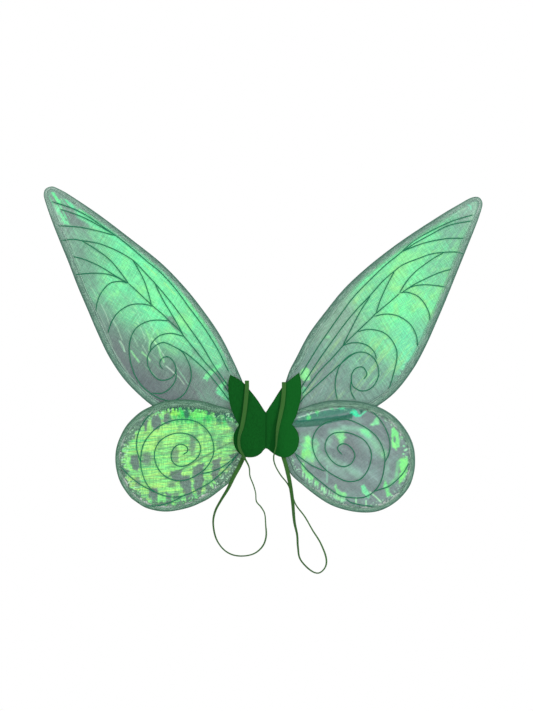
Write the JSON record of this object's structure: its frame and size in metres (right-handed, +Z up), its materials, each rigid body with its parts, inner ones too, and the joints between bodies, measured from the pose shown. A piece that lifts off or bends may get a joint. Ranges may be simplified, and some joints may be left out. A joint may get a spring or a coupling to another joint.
{
  "type": "fairy wings",
  "caption": "Butterfly-shaped costume wings: sheer mesh and iridescent film on bent wire, clamped in a folding felt back pad with elastic shoulder loops.",
  "frame": {"origin": "on the wearer's face of the felt pad, in its crease, level with the middle of the crease", "axes": "+X across the wings to the wearer's right as seen from the strap side, +Y away from the wearer's back, +Z up as worn"},
  "size_m": [0.858, 0.0267, 0.7548],
  "materials": {
    "felt": "matte pressed felt",
    "foam": "soft foam sheet",
    "mesh": "sheer knitted mesh",
    "hem": "doubled sheer mesh",
    "film": "iridescent film",
    "wire": "green lacquered steel wire",
    "elastic": "flat braided elastic",
    "thread": "sewing thread"
  },
  "bodies": {
    "spine": {"front_felt_crease": "felt", "core_crease": "foam", "back_felt_crease": "felt"},
    "left_pad": {"front_felt_left": "felt", "core_left": "foam", "back_felt_left": "felt", "left_upper_root": "hem", "left_upper_legs": "wire", "left_lower_root": "hem", "left_lower_legs": "wire", "left_strap": "elastic", "left_strap_fold": "elastic", "left_strap_tacks": "thread"},
    "left_upper_wing": {"left_upper_wire": "wire", "left_upper_front_mesh": "mesh", "left_upper_back_mesh": "mesh", "left_upper_hem": "hem", "left_upper_film": "film"},
    "left_lower_wing": {"left_lower_wire": "wire", "left_lower_front_mesh": "mesh", "left_lower_back_mesh": "mesh", "left_lower_hem": "hem", "left_lower_film": "film"},
    "right_pad": {"front_felt_right": "felt", "core_right": "foam", "back_felt_right": "felt", "right_upper_root": "hem", "right_upper_legs": "wire", "right_lower_root": "hem", "right_lower_legs": "wire", "right_strap": "elastic", "right_strap_fold": "elastic", "right_strap_tacks": "thread"},
    "right_upper_wing": {"right_upper_wire": "wire", "right_upper_front_mesh": "mesh", "right_upper_back_mesh": "mesh", "right_upper_hem": "hem", "right_upper_film": "film"},
    "right_lower_wing": {"right_lower_wire": "wire", "right_lower_front_mesh": "mesh", "right_lower_back_mesh": "mesh", "right_lower_hem": "hem", "right_lower_film": "film"}
  },
  "joints": [
    {"name": "left_fold", "type": "hinge", "parent": "spine", "child": "left_pad", "pos_m": [-0.0042, 0.0138, 0], "axis": [0, 0, -1], "range_deg": [0, 88]},
    {"name": "right_fold", "type": "hinge", "parent": "spine", "child": "right_pad", "pos_m": [0.0042, 0.0138, 0], "axis": [0, 0, 1], "range_deg": [0, 88]},
    {"name": "left_upper_bend", "type": "hinge", "parent": "left_pad", "child": "left_upper_wing", "pos_m": [-0.05, 0.0095, 0.058], "axis": [0, 0, 1], "range_deg": [-30, 0]},
    {"name": "right_upper_bend", "type": "hinge", "parent": "right_pad", "child": "right_upper_wing", "pos_m": [0.046, 0.0095, 0.058], "axis": [0, 0, -1], "range_deg": [-30, 0]},
    {"name": "left_lower_bend", "type": "hinge", "parent": "left_pad", "child": "left_lower_wing", "pos_m": [-0.074, 0.0059, -0.03], "axis": [0, 0, -1], "range_deg": [-25, 0]},
    {"name": "right_lower_bend", "type": "hinge", "parent": "right_pad", "child": "right_lower_wing", "pos_m": [0.076, 0.0059, -0.03], "axis": [0, 0, 1], "range_deg": [-25, 0]}
  ]
}
